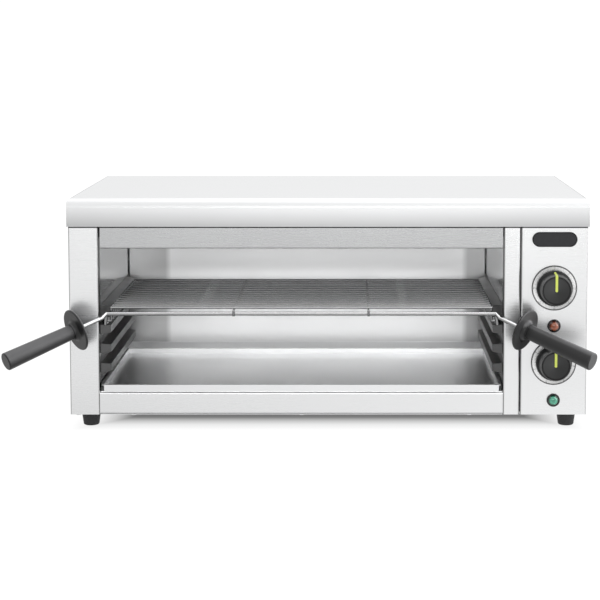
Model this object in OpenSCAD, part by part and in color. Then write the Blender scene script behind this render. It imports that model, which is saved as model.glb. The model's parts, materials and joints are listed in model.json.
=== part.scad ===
// Countertop cheese melter: a sheet steel grill cabinet, open at the front, with heating
// tubes under its roof, a sliding wire rack with two splayed handles, a sliding drip tray
// and a control housing on the right.
// Millimetres. +Z is up, -Y is the front, X = 0 is the middle of the open cavity, and
// Z = 0 is the surface that the rubber feet stand on.

/* [Casing] */
// Clear width of the front opening
opening_w = 474.6; // [440:0.1:520]
// Clear height of the front opening
opening_h = 170.5; // [165:0.1:200]
// Width of the left front post
left_post_w = 34.8; // [28:0.1:60]
// Width of the right front post, between the opening and the control panel
right_post_w = 20.2; // [16:0.1:40]
// Width of the control panel
control_w = 77.9; // [70:0.1:110]
// Depth of the casing from the front posts to the rear panel
casing_d = 307; // [302:0.5:340]
// Height of the front panel below the opening
sill_h = 26.4; // [25:0.1:40]
// Height of the upper fascia that shows between the opening and the cover
fascia_h = 25.9; // [20:0.1:40]
// Thickness of the casing sheets
sheet = 1; // [0.8:0.1:1.2]
// Outer radius of the folded corners
fold_r = 2; // [1.5:0.1:2.5]
// Depth of the returns that stiffen the edges of the sheets
return_d = 14; // [11:0.5:18]
// Gap at the seams between neighbouring sheets
seam = 0.4; // [0.2:0.1:0.6]
// Gap between the right post and the control panel
panel_gap = 1.1; // [0.4:0.1:2]
// Open gap beside the left end of the upper fascia
fascia_gap_left = 2.3; // [0.5:0.1:3]
// Open gap beside the right end of the upper fascia
fascia_gap_right = 1.3; // [0.5:0.1:3]

/* [Cover] */
// Height of the cover's skirts
cover_h = 33.1; // [28:0.1:45]
// Thickness of the cover's sheet
cover_sheet = 1.2; // [1:0.1:1.5]
// Radius of the rolled front edge
cover_roll_r = 11; // [6:0.5:14]
// Radius of the folded side edges
cover_side_r = 6; // [4:0.5:7]
// Space between the skirts and the casing
cover_gap = 0.3; // [0.2:0.05:0.6]

/* [Cavity] */
// Depth of the cavity, from the front posts to its back wall
cavity_d = 270; // [262:0.5:280]
// Thickness of the cavity's lining sheets
liner = 0.8; // [0.6:0.1:1]
// Open gap between the back wall and each side wall
back_gap = 1.4; // [0.5:0.1:2.5]
// Height of the upturned rear edge of the cavity floor
floor_upstand_h = 8.7; // [6:0.1:12]
// Width of each raised runner bead on the cavity floor
bead_w = 12; // [8:0.5:16]
// Height of the runner beads
bead_h = 0.6; // [0.4:0.1:1.2]
// Distance of the runner beads from the middle
bead_x = 150; // [100:1:180]

/* [Rack guides] */
// Number of stamped ribs on each side wall
rib_count = 4; // [3:1:4]
// Distance from one rib to the next
rib_pitch = 23.1; // [21:0.1:24]
// Height of each rib
rib_h = 11.8; // [10:0.1:12.5]
// How far the ribs stand out of the guide plate
rib_out = 11.4; // [10.5:0.1:12]
// Slant of the ribs' upper and lower flanks
rib_flank = 1.6; // [1:0.1:2.5]
// Slant of the ribs' front and rear ends
rib_end = 5; // [3:0.5:8]
// Distance from the front posts to the foot of the ribs
rib_front = 15; // [13:0.5:20]
// Length of the ribs
rib_l = 230; // [224:0.5:235]
// Height of the topmost rib's upper edge above the sill
rib_top = 101.2; // [98:0.1:110]

/* [Wire rack] */
// Diameter of the rack's frame rod and handle rods
rod_d = 4.6; // [4:0.1:5]
// Diameter of the long grid wires
wire_d = 2.8; // [2.4:0.1:3]
// Number of long grid wires
wire_count = 15; // [13:1:17]
// Depth of the wire grid
grid_d = 226; // [218:0.5:228]
// Height of the grid's top wires above the side rods
grid_rise = 19; // [17:0.5:21]
// Height of the front rail above the side rods
rail_rise = 13; // [12:0.1:13.5]
// Space between the bent wire ends and the faces of the ribs
grid_side_gap = 0.8; // [0.5:0.1:1.5]
// Distance of the two cross wires from the middle
cross_x = 79; // [60:1:100]
// Clearance under and beside the sliding pieces
slide_gap = 0.3; // [0.3:0.05:0.5]
// How far a weld sinks one wire into another
weld = 0.25; // [0.15:0.05:0.3]

/* [Rack handles] */
// Angle of the handles outward from straight ahead, seen from above
splay = 53.5; // [45:0.5:58]
// Angle of the handles below the horizontal
droop = 17; // [12:0.5:20]
// Length of bare rod from the rack's corner to the guard disc
bare_rod_l = 34.5; // [30:0.5:40]
// Diameter of the guard disc
guard_d = 50; // [44:0.5:52]
// Thickness of the guard disc at its rim
guard_t = 3; // [2:0.1:4]
// Diameter of the grip at the guard
grip_d = 17.2; // [15:0.1:20]
// Diameter of the grip at its free end
grip_end_d = 20.8; // [18:0.1:22]
// Length of the grip from the guard to its free end
grip_l = 93.9; // [86:0.1:96]

/* [Drip tray] */
// Space between the tray's rim and the cavity lining on each side
tray_side_gap = 1.8; // [1.5:0.1:3]
// Depth of the tray from its front to its rear rim
tray_d = 226; // [215:0.5:240]
// Height of the tray's walls
tray_h = 7.5; // [6:0.1:12]
// Thickness of the tray's sheet
tray_t = 0.8; // [0.6:0.1:1]
// Width of the folded rim
tray_rim = 3.2; // [2.5:0.1:5]

/* [Controls] */
// Height of the upper dial's centre above the casing's lower edge
upper_dial_z = 150.6; // [140:0.1:152]
// Distance between the two dial centres
dial_pitch = 88.4; // [86:0.1:92]
// Distance from each dial centre down to the lamp below it
lamp_drop = 44.8; // [43:0.1:46]
// Distance from the upper dial centre up to the nameplate's centre
plate_rise = 57.2; // [54:0.1:58]
// Diameter of the scale ring behind each knob
ring_d = 52.6; // [48:0.1:56]
// Thickness of the scale ring
ring_t = 1.2; // [0.8:0.1:2]
// Diameter of the knob's skirt
skirt_d = 42; // [38:0.1:44]
// Thickness of the knob's skirt at its rim
skirt_t = 4; // [3:0.1:6]
// Diameter of the knob's cap
cap_d = 35.6; // [32:0.1:37]
// Diameter of the fine groove round the knob's face
face_groove_d = 32.6; // [28:0.1:32.8]
// Height of the knob from its skirt's back to its face
knob_h = 21; // [17:0.1:24]
// Width of the pointer bar on the knob
pointer_w = 2.9; // [2.4:0.1:4]
// Diameter of the switch spindles
spindle_d = 6; // [5.5:0.1:6.5]
// Radial clearance of the spindles in their bushes
spindle_fit = 0.05; // [0.02:0.01:0.1]
// Diameter of the lamps' bezels
lamp_d = 15.6; // [14.6:0.1:17]
// Diameter of the lamps' lenses
lens_d = 13; // [12:0.1:13.4]
// Width of the bare nameplate
plate_w = 52.6; // [46:0.1:60]
// Height of the bare nameplate
plate_h = 17.4; // [14:0.1:20]
// Thickness of the bare nameplate
plate_t = 1.4; // [1:0.1:2]

/* [Heating] */
// Diameter of the heating tubes
tube_d = 8; // [7:0.1:8.5]
// Distance between the two legs of one hairpin tube
hairpin_w = 56; // [48:1:60]
// Distance from one hairpin tube to the next
hairpin_pitch = 112; // [106:1:118]
// Height of the tubes' centres above the upper edge of the opening
tube_rise = 12; // [10:0.5:14]
// Distance from the tubes' centres up to the reflector
reflector_gap = 20; // [16:0.5:21]
// Clearance of the tubes in their hangers and bushes
tube_fit = 0.1; // [0.05:0.01:0.2]

/* [Feet] */
// Height of the rubber feet
foot_h = 18.5; // [16:0.1:24]
// Diameter of the feet at the casing
foot_top_d = 23.6; // [20:0.1:26]
// Diameter of the feet at the ground
foot_bottom_d = 19; // [16:0.1:19.5]
// Distance of the feet's centres from the casing's sides
foot_inset_x = 20; // [18:0.5:30]
// Distance of the feet's centres from the casing's front and back
foot_inset_y = 30; // [24:0.5:40]

/* [Hidden] */

$fn = 48;
eps = 0.01;
ball_grow = 0.02;
right = 1;
left = -1;

// Main places of the casing
x_open = opening_w / 2;
x_left = -x_open - left_post_w;
x_seam = x_open + right_post_w;
x_right = x_seam + control_w;
casing_w = x_right - x_left;
z0 = foot_h;
z_sill = z0 + sill_h;
z_lintel = z_sill + opening_h;
z_skirt = z_lintel + fascia_h;
z_top = z_skirt + cover_h;
z_front_top = z_top - cover_roll_r;
z_casing_top = z_top - cover_side_r;

// Cover
cover_x0 = x_left - cover_gap - cover_sheet;
cover_x1 = x_right + cover_gap + cover_sheet;
cover_y0 = -cover_gap - cover_sheet;
cover_y1 = casing_d + cover_gap + cover_sheet;
rail_w = 12;

// Cavity
x_liner = x_open + sheet;
x_guide = x_liner - liner;
x_rib = x_guide - rib_out;
z_floor = z_sill + liner;
z_roof = z_lintel + tube_rise + reflector_gap;
liner_y0 = fold_r + 2;
guide_y0 = return_d + seam;
liner_h = z_roof - z_sill;
liner_tail = 8;
upstand_y = cavity_d - liner / 2;
reflector_bend = 3;
guide_end = cavity_d - 2;
guide_lip = 0.6;

// Ribs and the slot that carries the rack
z_rib_top = z_sill + rib_top;
z_slot = z_rib_top - rib_pitch;

// Rack
rod_r = rod_d / 2;
wire_r = wire_d / 2;
z_rod = z_slot + slide_gap + rod_r;
z_rail = z_rod + rail_rise;
z_grid = z_rod + grid_rise;
x_drop = x_rib - grid_side_gap - wire_r;
x_bend = x_drop - wire_d;
x_rod = x_rib + (rib_out - rod_r) / 2;
z_foot_wire = z_rod + rod_r + wire_r - weld;
z_cross = z_grid - 2 * wire_r + weld;
front_reach = 5;
x_corner = x_rib + rod_r;
corner_y = 6;
wire_y0 = corner_y + wire_r;
wire_step = (grid_d - rod_r - wire_y0) / (wire_count - 1);

// Handles: a direction that points from the rack's corner to the grip's free end
handle_dir = [sin(splay) * cos(droop), -cos(splay) * cos(droop), -sin(droop)];
root_out = 1.6;
root_drop = 4.2;
handle_root = [x_rod + root_out, -front_reach, z_rail - root_drop];
guard_at = handle_root + bare_rod_l * handle_dir;
grip_tip = guard_at + grip_l * handle_dir;
guard_dome = 2.4;
hub_d = 19.6;
hub_fillet = 4.5;
hub_l = guard_t + hub_fillet + 0.5;
grip_fit = 0.2;
grip_start = guard_t + 1;
rod_in_grip = 60;
grip_edge_r = 1.6;

// Drip tray
z_tray = z_floor + bead_h + slide_gap;
x_tray = x_guide - tray_side_gap;
tray_y0 = -0.5;
tray_corner_r = 4;

// Controls
x_dial = (x_seam + x_right) / 2;
z_upper = z0 + upper_dial_z;
z_lower = z_upper - dial_pitch;
z_plate = z_upper + plate_rise;
plate_rim = 0.8;
plate_groove_w = 0.6;
plate_groove = 0.3;
knob_gap = 0.6;
knob_back = -ring_t - knob_gap;
bush_d = spindle_d + 4;
spindle_hole_d = bush_d + 1;
spindle_flat = 1.4;
spindle_l = 44;
switch_y = sheet;
knob_bore_l = 14;
knob_edge = 1.3;
knob_rise = 2;
knob_flare = 0.6;
skirt_edge = 1;
groove_w = 0.5;
groove_deep = 0.8;
cap_r = cap_d / 2;
flare_r = cap_r + knob_flare;
skirt_r = skirt_d / 2;
ring_lip = 0.8;
ring_step = 0.2;
pointer_fit = 0.05;
pointer_deep = 1.2;
pointer_proud = 0.4;
pointer_tip_r = flare_r - 0.2;
lamp_body_d = 12;
lamp_hole_d = 12.6;
lamp_dome = 3.4;
bezel_t = 2.2;
bezel_edge = 0.7;
lens_fit = 0.1;
lens_sunk = 0.4;
lamp_body_l = 22;
lamp_nut_d = 16;
lamp_nut_t = 3;
lamp_tabs = [1, 6, 6];
switch_tabs = [1, 10, 7];
switch_floor = 6;
thermostat_w = 36;
thermostat_h = 40;
thermostat_l = 34;
timer_w = 44;
timer_h = 44;
timer_l = 40;

// Heating
z_tube = z_lintel + tube_rise;
hairpin_ahead = 6;
hairpin_mid = cavity_d / 2 - hairpin_ahead;
hairpin_y = [hairpin_mid - hairpin_pitch / 2, hairpin_mid + hairpin_pitch / 2];
tube_inset = 48;
tube_end_out = 24;
tube_right_end = x_seam + tube_end_out;
tube_left = -x_open + tube_inset;
hanger_x = [-130, 120];
hanger_t = 1.2;
bush_flange_d = 17;
bush_flange_t = 2.5;
wall_hole_d = 12.4;
bush_out = 3;
hanger_end = 12;
hanger_drop = 7;
hanger_foot = 10;
insulator_d = 7;
insulator_l = 4;
terminal_d = 4;
terminal_l = 9;
bulb_d = 6;
bulb_l = 84;
bulb_in = 26;
bulb_back = 12;
bulb_rise = 6;
bulb_y = cavity_d - bulb_back;
bulb_z = z_lintel + bulb_rise;
bulb_x = [x_liner - bulb_in - bulb_l, x_liner - bulb_in];
bulb_clip_w = 6;
bulb_clip_t = 2;
capillary_d = 1.6;
capillary_loop = 10;
capillary_hole_d = 4;

// Feet
foot_x = [x_left + foot_inset_x, x_right - foot_inset_x];
foot_y = [foot_inset_y, casing_d - foot_inset_y];
foot_round = 2.2;
foot_screw_d = 5;
foot_bore_d = 5.4;
foot_well_d = 10;
foot_head_d = 9;
foot_head_t = 3;
foot_nut_r = 4.6;
foot_nut_t = 4;
foot_screw_out = 6;

// Cooling slots
vent_w = 3;
vent_l = 34;
vent_pitch = 8;
rear_vent_count = 10;
rear_vent_z = z_upper - vent_pitch * rear_vent_count / 2;
side_vent_count = 8;
side_vent_l = 54;
side_vent_back = 116;
side_vent_rise = 62;
side_vent_y = casing_d - side_vent_back;
side_vent_z = z0 + side_vent_rise;
base_vent_count = 10;
base_vent_pitch = 5;
base_vent_y = [70, 200];

// Rear edge: the rear panel's inset from the sides, and the plane where the returns meet it
rear_in = 0.2;
y_return = casing_d - sheet;

// Screws: [x, z] in the rear panel, x along the front of the underside and in the cover
screw_d = 3.6;
screw_fit = 0.05;
screw_hole_d = screw_d + 2 * screw_fit;
screw_reach = 5;
head_d = 7;
head_t = 2;
corner_in = 8;
corner_rise = 24;
corner_drop = 14;
base_screw_in = 39;
base_screw_y = 8.5;
cover_screw_rise = 14;
rear_screws = [
    [x_left + corner_in, z0 + corner_rise], [x_right - corner_in, z0 + corner_rise],
    [x_left + corner_in, z_skirt - corner_drop], [x_right - corner_in, z_skirt - corner_drop],
    [-x_open / 2, z0 + corner_in], [x_open / 2, z0 + corner_in]
];
base_screw_x = [x_left + corner_in, -x_open + base_screw_in, 0, x_open - base_screw_in];
cover_screw_x = [-x_open / 2, x_open / 2];
cover_screw_z = z_skirt + cover_screw_rise;

// Cable inlet at the lower rear of the control housing
inlet_side = 8;
inlet_rise = 42;
inlet_x = x_dial + inlet_side;
inlet_z = z0 + inlet_rise;
inlet_d = 16;
inlet_out = 9;
inlet_bore_d = 9;
inlet_in = 14;
inlet_flange_t = 3;
inlet_flange_w = 3;

// Terminal block
block_w = 44;
block_d = 18;
block_h = 16;
block_wells = 4;
block_well_d = 5;
block_back = 76;

// Middle of the whole depth, from the grips' rounded ends to the inlet, so that the part's
// frame is centred front to back
grip_slant = sqrt(1 - handle_dir[1] * handle_dir[1]);
grip_round_y = (grip_end_d / 2 - grip_edge_r) * grip_slant + grip_edge_r;
y_front = (grip_tip - grip_edge_r * handle_dir)[1] - grip_round_y;
y_back = casing_d + inlet_out;
y_mid = (y_front + y_back) / 2;

// --- helpers -------------------------------------------------------------------------

// Moves a piece from the casing's own frame to the part's frame
module place() translate([0, -y_mid, 0]) children();

function unit(v) = v / norm(v);
function turn_radius(radii, i) = is_list(radii) ? radii[i - 1] : radii;

// A folded sheet seen from its end: square turns with true bends, about the middle of the
// sheet. pts is the path, t the thickness and radii the bend radius at each turn.
module sheet_path(pts, t, radii) {
    last = len(pts) - 1;
    for (i = [0 : last - 1]) {
        d = unit(pts[i + 1] - pts[i]);
        a = pts[i] + (i > 0 ? turn_radius(radii, i) : 0) * d;
        b = pts[i + 1] - (i + 1 < last ? turn_radius(radii, i + 1) : 0) * d;
        side = [abs(d[1]), abs(d[0])] * t / 2;
        low = [min(a[0], b[0]), min(a[1], b[1])] - side;
        high = [max(a[0], b[0]), max(a[1], b[1])] + side;
        translate(low) square(high - low);
    }
    for (i = [1 : 1 : last - 1]) {
        d_in = unit(pts[i] - pts[i - 1]);
        d_out = unit(pts[i + 1] - pts[i]);
        r = turn_radius(radii, i);
        centre = pts[i] + r * (d_out - d_in);
        far = centre + (r + t) * (d_in - d_out);
        low = [min(centre[0], far[0]), min(centre[1], far[1])];
        high = [max(centre[0], far[0]), max(centre[1], far[1])];
        intersection() {
            translate(centre) difference() {
                circle(r + t / 2);
                circle(r - t / 2);
            }
            translate(low) square(high - low);
        }
    }
}

// Extrudes a plan drawing (x, y) upward from z
module upright(z, h) translate([0, 0, z]) linear_extrude(h) children();

// Extrudes a section drawing (y, z) along X, from x to x + w
module along_x(x, w) translate([x, 0, 0]) rotate([90, 0, 90]) linear_extrude(w) children();

// Extrudes an elevation drawing (x, z) along Y, from y to y + d
module along_y(y, d) translate([0, y + d, 0]) rotate([90, 0, 0]) linear_extrude(d) children();

// A round bar between two points, with an optional ball at each end. The balls are a hair
// larger than the bar, so that their surfaces cross.
module bar(a, b, r, ball_a = false, ball_b = false) {
    v = b - a;
    translate(a) {
        rotate([0, acos(v[2] / norm(v)), atan2(v[1], v[0])]) cylinder(h = norm(v), r = r);
        if (ball_a) sphere(r + ball_grow);
    }
    if (ball_b) translate(b) sphere(r + ball_grow);
}

// A bar that follows a list of points, rounded at each turn
module bent_bar(pts, r) {
    for (i = [0 : len(pts) - 2]) bar(pts[i], pts[i + 1], r, ball_b = i < len(pts) - 2);
}

// A hole from front to back through the casing's front or rear sheet
module bore_y(x, z, d, y, l) translate([x, y, z]) rotate([-90, 0, 0]) cylinder(h = l, d = d);

// A slot with round ends, drawn flat
module slot_2d(l, w) {
    square([l - w, w], center = true);
    for (s = [-1, 1]) translate([s * (l - w) / 2, 0]) circle(d = w);
}

// Turns a piece drawn along +Z so that it points along a handle, and mirrors it to a side
module on_handle(side, at) {
    mirror([side == left ? 1 : 0, 0, 0])
        translate(at)
            rotate([0, acos(handle_dir[2]), atan2(handle_dir[1], handle_dir[0])])
                children();
}

// --- casing --------------------------------------------------------------------------

// Outline of the cover's section (y, z), with the rolled front edge, drawn in by inset
module cover_section(inset) {
    y0 = cover_y0 + inset;
    y1 = cover_y1 - inset;
    z1 = z_top - inset;
    r = cover_roll_r - inset;
    rear_r = cover_side_r - inset;
    base = z_skirt - (inset > 0 ? 1 : 0);
    translate([y0, base]) square([y1 - y0, z1 - r - base]);
    translate([y0 + r, base]) square([y1 - y0 - r - rear_r, z1 - base]);
    translate([y0 + r, z1 - r]) circle(r);
    translate([y1 - rear_r, z1 - rear_r]) circle(rear_r);
    translate([y1 - r, z1 - r]) square([r, r - rear_r]);
}

// Outline of the cover's elevation (x, z), with the folded side edges, drawn in by inset
module cover_elevation(inset) {
    x0 = cover_x0 + inset;
    x1 = cover_x1 - inset;
    z1 = z_top - inset;
    r = cover_side_r - inset;
    base = z_skirt - (inset > 0 ? 1 : 0);
    translate([x0, base]) square([x1 - x0, z1 - r - base]);
    translate([x0 + r, base]) square([x1 - x0 - 2 * r, z1 - base]);
    for (x = [x0 + r, x1 - r]) translate([x, z1 - r]) circle(r);
}

module cover_block(inset) {
    intersection() {
        along_x(cover_x0 + inset, cover_x1 - cover_x0 - 2 * inset) cover_section(inset);
        along_y(cover_y0 + inset, cover_y1 - cover_y0 - 2 * inset) cover_elevation(inset);
    }
}

module top_cover() color("gainsboro") place() difference() {
    cover_block(0);
    cover_block(cover_sheet);
    cover_screw_holes();
}

// Angle strips inside the sides that carry the cover
module cover_rails() color("silver") place() {
    m = sheet / 2;
    z1 = z_top - cover_sheet - m;
    for (side = [left, right]) {
        x = side == left ? x_left + sheet + m : x_right - sheet - m;
        along_y(cover_roll_r + seam, y_return - fold_r - cover_roll_r - 2 * seam) sheet_path([
            [x, z1 - rail_w], [x, z1], [x - side * rail_w, z1]
        ], sheet, cover_side_r - cover_sheet - cover_gap - sheet - m);
    }
}

// Space above the front sheets, where the cover's rolled edge passes
module roll_notch() {
    translate([cover_x0, -1, z_front_top])
        cube([cover_x1 - cover_x0, cover_roll_r + 1, z_top - z_front_top]);
}

module rear_screw_holes() {
    for (p = rear_screws) bore_y(p[0], p[1], screw_hole_d, casing_d - screw_reach, 2 * screw_reach);
}

// Left post, side and rear edge folded from one sheet
module left_side_panel() color("gainsboro") place() difference() {
    m = sheet / 2;
    upright(z0, z_casing_top - z0) sheet_path([
        [-x_open - m, return_d], [-x_open - m, m], [x_left + m, m],
        [x_left + m, y_return - m], [x_left + return_d, y_return - m]
    ], sheet, fold_r - m);
    roll_notch();
    rear_screw_holes();
}

// Control front, right side and rear edge folded from one sheet, with cooling slots
module control_side_panel() color("gainsboro") place() difference() {
    m = sheet / 2;
    upright(z0, z_casing_top - z0) sheet_path([
        [x_seam + m, return_d], [x_seam + m, m], [x_right - m, m],
        [x_right - m, y_return - m], [x_right - return_d, y_return - m]
    ], sheet, fold_r - m);
    roll_notch();
    rear_screw_holes();
    for (z = [z_upper, z_lower]) {
        bore_y(x_dial, z, spindle_hole_d, -1, sheet + 2);
        bore_y(x_dial, z - lamp_drop, lamp_hole_d, -1, sheet + 2);
    }
    for (i = [0 : side_vent_count - 1])
        translate([x_right - 2 * sheet, side_vent_y, side_vent_z + i * vent_pitch])
            rotate([90, 0, 90]) linear_extrude(3 * sheet) slot_2d(side_vent_l, vent_w);
}

// Narrow post between the opening and the control panel
module right_post() color("gainsboro") place() {
    m = sheet / 2;
    upright(z0, z_front_top - z0) sheet_path([
        [x_open + m, return_d], [x_open + m, m],
        [x_seam - panel_gap - m, m], [x_seam - panel_gap - m, return_d]
    ], sheet, fold_r - m);
}

// Strip above the opening, folded back under the roof of the cavity. Behind the cover it
// reaches the posts, and below the cover its ends stand clear of them.
module upper_fascia() color("silver") place() difference() {
    m = sheet / 2;
    along_x(-x_open, opening_w) sheet_path([
        [return_d, z_front_top - m], [m + seam, z_front_top - m], [m + seam, z_lintel + m],
        [return_d, z_lintel + m]
    ], sheet, fold_r - m);
    for (end = [[-x_open - 1, fascia_gap_left], [x_open - fascia_gap_right, fascia_gap_right]])
        translate([end[0], 0, z_lintel - 1]) cube([end[1] + 1, 2 * return_d, fascia_h + 2]);
}

// Strip below the opening
module front_sill() color("gainsboro") place() difference() {
    m = sheet / 2;
    along_x(-x_open, opening_w) sheet_path([
        [return_d, z0 + sheet + m], [m + seam, z0 + sheet + m],
        [m + seam, z_sill - m], [return_d, z_sill - m]
    ], sheet, fold_r - m);
    base_screw_holes();
}

module base_screw_holes() {
    for (x = base_screw_x) translate([x, base_screw_y, z0 - 1])
        cylinder(h = 2 * sheet + 2, d = screw_hole_d);
}

// Bottom of the casing: it runs forward between the returns and turns up at the rear
module base_plate() color("silver") place() difference() {
    y1 = y_return - fold_r;
    tongues = [
        [x_left + fold_r, -x_open - sheet - seam, fold_r],
        [-x_open + seam, x_open - seam, seam],
        [x_open + sheet + seam, x_seam - panel_gap - sheet - seam, fold_r],
        [x_seam + sheet + seam, x_right - fold_r, fold_r]
    ];
    union() {
        translate([x_left + sheet, guide_y0, z0])
            cube([casing_w - 2 * sheet, y1 - guide_y0, sheet]);
        for (t = tongues) translate([t[0], t[2], z0]) cube([t[1] - t[0], guide_y0 - t[2], sheet]);
        along_x(x_left + return_d + seam, casing_w - 2 * (return_d + seam)) sheet_path([
            [y1 - fold_r, z0 + sheet / 2], [y_return - sheet / 2, z0 + sheet / 2],
            [y_return - sheet / 2, z0 + return_d]
        ], sheet, fold_r - sheet / 2);
    }
    for (x = foot_x, y = foot_y) translate([x, y, z0 - 1]) cylinder(h = sheet + 2, d = foot_bore_d);
    for (i = [0 : base_vent_count - 1], y = base_vent_y)
        translate([x_dial + (i - (base_vent_count - 1) / 2) * base_vent_pitch, y, z0 - 1])
            linear_extrude(sheet + 2) rotate(90) slot_2d(vent_l, vent_w);
    base_screw_holes();
    rear_screw_holes();
}

// Back of the casing, with cooling slots behind the controls and the hole for the cable
module rear_panel() color("silver") place() difference() {
    translate([x_left + rear_in, casing_d - sheet, z0])
        cube([casing_w - 2 * rear_in, sheet, z_casing_top - z0]);
    bore_y(inlet_x, inlet_z, inlet_d + 2 * spindle_fit, casing_d - 3 * sheet, 6 * sheet);
    for (i = [0 : rear_vent_count - 1])
        translate([x_dial, casing_d + sheet, rear_vent_z + i * vent_pitch])
            rotate([90, 0, 0]) linear_extrude(4 * sheet) slot_2d(vent_l, vent_w);
    rear_screw_holes();
    cover_screw_holes();
}

module cover_screw_holes() {
    for (x = cover_screw_x)
        bore_y(x, cover_screw_z, screw_hole_d, casing_d - screw_reach, 2 * screw_reach);
}

// Bare plate in the place of a badge, with a fine groove round its face
module nameplate() color("dimgray") place()
    translate([x_dial, 0, z_plate]) rotate([90, 0, 0]) difference() {
        inner = plate_rim + plate_groove_w;
        linear_extrude(plate_t) slot_2d(plate_w, plate_h);
        translate([0, 0, plate_t - plate_groove]) linear_extrude(1) difference() {
            slot_2d(plate_w - 2 * plate_rim, plate_h - 2 * plate_rim);
            slot_2d(plate_w - 2 * inner, plate_h - 2 * inner);
        }
    }

// --- cavity --------------------------------------------------------------------------

// Back wall, held by the floor's upturned edge and the reflector, with open side gaps
module cavity_back() color("lightgray") place()
    translate([-x_liner + back_gap, cavity_d, z_sill])
        cube([2 * (x_liner - back_gap), liner, liner_h]);

// Floor that lies on the sill, with two raised runner beads and an upturned rear edge
module cavity_floor() color("darkgray") place() {
    m = liner / 2;
    along_x(-x_liner, 2 * x_liner) sheet_path([
        [guide_y0, z_floor - m], [upstand_y, z_floor - m], [upstand_y, z_floor + floor_upstand_h]
    ], liner, 1);
    translate([-x_open + seam, liner_y0, z_sill])
        cube([opening_w - 2 * seam, guide_y0 - liner_y0 + eps, liner]);
    for (s = [left, right])
        along_y(guide_y0, upstand_y - guide_y0 - bead_w) translate([s * bead_x, z_floor - eps])
            polygon([[-bead_w / 2, 0], [bead_w / 2, 0],
                     [bead_w / 2 - bead_h, bead_h + eps], [-bead_w / 2 + bead_h, bead_h + eps]]);
}

module liner_sheet(side) {
    x = side == left ? -x_liner - liner : x_liner;
    difference() {
        translate([x, liner_y0, z_sill])
            cube([liner, cavity_d + liner_tail - liner_y0, liner_h]);
        if (side == right) {
            for (y = hairpin_y, s = [-1, 1])
                translate([x - 1, y + s * hairpin_w / 2, z_tube]) rotate([0, 90, 0])
                    cylinder(h = liner + 2, d = wall_hole_d);
            translate([x - 1, bulb_y, bulb_z]) rotate([0, 90, 0])
                cylinder(h = liner + 2, d = capillary_hole_d);
        }
    }
}

module left_liner() color("lightgray") place() liner_sheet(left);
module right_liner() color("lightgray") place() liner_sheet(right);

// One stamped rib on the right wall: the overlap of a section that tapers in height and a
// plan that tapers in length. grow is the thickness by which it is larger than its inside.
module rib_block(z, grow) {
    out = rib_out - (liner - grow);
    intersection() {
        along_y(rib_front, rib_l) translate([x_guide + eps, z]) polygon([
            [0, rib_h / 2 + grow - liner], [-out, rib_h / 2 + grow - liner - rib_flank],
            [-out, -rib_h / 2 - grow + liner + rib_flank], [0, -rib_h / 2 - grow + liner]
        ]);
        upright(z - rib_h, 2 * rib_h) translate([x_guide + eps, rib_front]) polygon([
            [0, liner - grow], [-out, liner - grow + rib_end],
            [-out, rib_l - liner + grow - rib_end], [0, rib_l - liner + grow]
        ]);
    }
}

// Stamped guide plate of the right wall: hollow ribs that carry and retain the rack
module guide_plate() {
    z_ribs = [for (i = [0 : rib_count - 1]) z_rib_top - rib_h / 2 - i * rib_pitch];
    plate_bottom = z_tray + tray_h + 2;
    difference() {
        union() {
            translate([x_guide, guide_y0, plate_bottom])
                cube([liner, guide_end - guide_y0, z_rib_top + guide_lip - plate_bottom]);
            for (z = z_ribs) rib_block(z, liner);
        }
        for (z = z_ribs) translate([liner, 0, 0]) rib_block(z, 0);
    }
}

module right_rack_guide() color("gray") place() guide_plate();
module left_rack_guide() color("gray") place() mirror([1, 0, 0]) guide_plate();

// Roof of the cavity: a shallow reflector over the tubes, with its sides on the liners
module heat_reflector() color("lightgray") place() {
    m = liner / 2;
    y0 = return_d + 2;
    y1 = cavity_d - m;
    z1 = z_roof + m;
    z_flange = z_roof - reflector_gap;
    along_x(-x_liner, 2 * x_liner)
        sheet_path([[y0, z_flange], [y0, z1], [y1, z1], [y1, z_flange]], liner, reflector_bend);
    for (side = [left, right])
        translate([side * x_liner - (side == left ? liner : 0), y0 + reflector_bend, z_roof])
            cube([liner, y1 - y0 - 2 * reflector_bend, liner]);
}

// --- heating -------------------------------------------------------------------------

// One hairpin tube: two legs through the right wall, joined by a round bend at the left
module hairpin(y) {
    for (s = [-1, 1])
        bar([tube_left, y + s * hairpin_w / 2, z_tube],
            [tube_right_end, y + s * hairpin_w / 2, z_tube], tube_d / 2);
    translate([tube_left, y, z_tube]) rotate([0, 0, 90])
        rotate_extrude(angle = 180) translate([hairpin_w / 2, 0]) circle(d = tube_d);
}

module heating_elements() color("dimgray") place() for (y = hairpin_y) hairpin(y);

// Strips that hang the tubes from the reflector
module element_hangers() color("silver") place() for (x = hanger_x) difference() {
    y0 = hairpin_y[0] - hairpin_w / 2 - hanger_end;
    y1 = hairpin_y[1] + hairpin_w / 2 + hanger_end;
    z1 = z_tube - hanger_drop;
    union() {
        translate([x, y0, z1]) cube([hanger_t, y1 - y0, z_roof - z1]);
        translate([x, y0, z_roof - hanger_t]) cube([hanger_foot, y1 - y0, hanger_t]);
    }
    for (y = hairpin_y, s = [-1, 1]) translate([x - 1, y + s * hairpin_w / 2, z_tube])
        rotate([0, 90, 0]) cylinder(h = 4, d = tube_d + 2 * tube_fit);
}

// Flanged bushes that seat the tubes in the right wall
module element_bushes() color("silver") place() for (y = hairpin_y, s = [-1, 1])
    translate([x_liner - bush_flange_t, y + s * hairpin_w / 2, z_tube]) rotate([0, 90, 0])
        difference() {
            union() {
                cylinder(h = bush_flange_t, d = bush_flange_d);
                cylinder(h = bush_flange_t + liner + bush_out, d = wall_hole_d - 2 * tube_fit);
            }
            translate([0, 0, -1]) cylinder(h = 20, d = tube_d + 2 * tube_fit);
        }

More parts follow.
